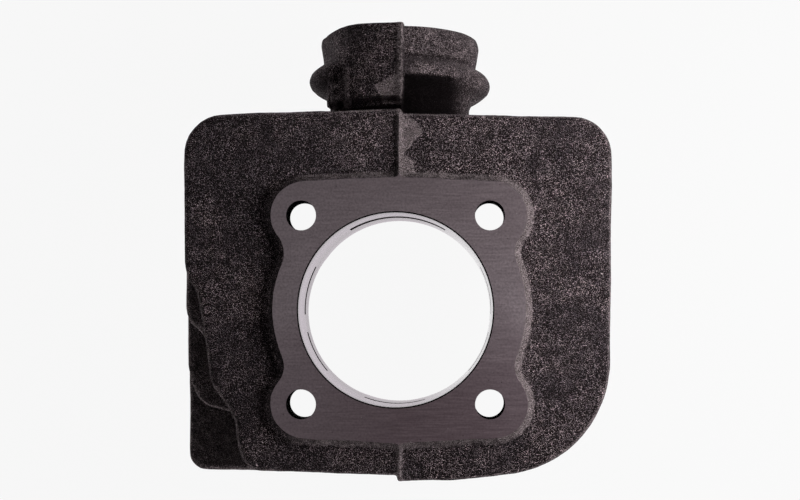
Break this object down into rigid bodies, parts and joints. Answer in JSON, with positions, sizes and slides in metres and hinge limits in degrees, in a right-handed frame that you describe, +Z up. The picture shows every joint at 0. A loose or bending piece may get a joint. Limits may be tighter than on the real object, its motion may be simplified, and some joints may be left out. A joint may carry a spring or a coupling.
{
  "type": "two-stroke cylinder barrel",
  "caption": "Air-cooled two-stroke engine barrel in black cast iron: cooling fins with a cut-away corner, machined head joint, honed bore with ports, base flange, skirt and round exhaust stub.",
  "frame": {"origin": "middle of the bounding box's bottom face; the part stands on its skirt at z = 0. The bore axis is upright at x = -0.5 mm, y = -13.3 mm", "axes": "+Z up along the bore to the head joint, +Y towards the exhaust stub, +X to the right seen from above with the exhaust away from the viewer"},
  "size_m": [0.094, 0.1018, 0.073],
  "materials": {
    "rough_iron": "rough sand-cast skin, blackened, with lighter grain on its peaks",
    "machined_iron": "fine-milled, oiled grey-brown iron",
    "honed_iron": "bright honed iron with a fine cross-hatch"
  },
  "bodies": {
    "root": {"head_joint_pad": "machined_iron", "bored_wall": "honed_iron", "cooling_fin_1": "rough_iron", "cooling_fin_2": "rough_iron", "cooling_fin_3": "rough_iron", "cooling_fin_4": "rough_iron", "cooling_fin_5": "rough_iron", "cooling_fin_6": "rough_iron", "cooling_fin_7": "rough_iron", "cooling_fin_8": "rough_iron", "barrel_core_1": "rough_iron", "barrel_core_2": "rough_iron", "barrel_core_3": "rough_iron", "barrel_core_4": "rough_iron", "barrel_core_5": "rough_iron", "barrel_core_6": "rough_iron", "barrel_core_7": "rough_iron", "barrel_core_8": "rough_iron", "base_flange": "rough_iron", "exhaust_stub": "rough_iron", "gate_block": "rough_iron"}
  },
  "joints": []
}
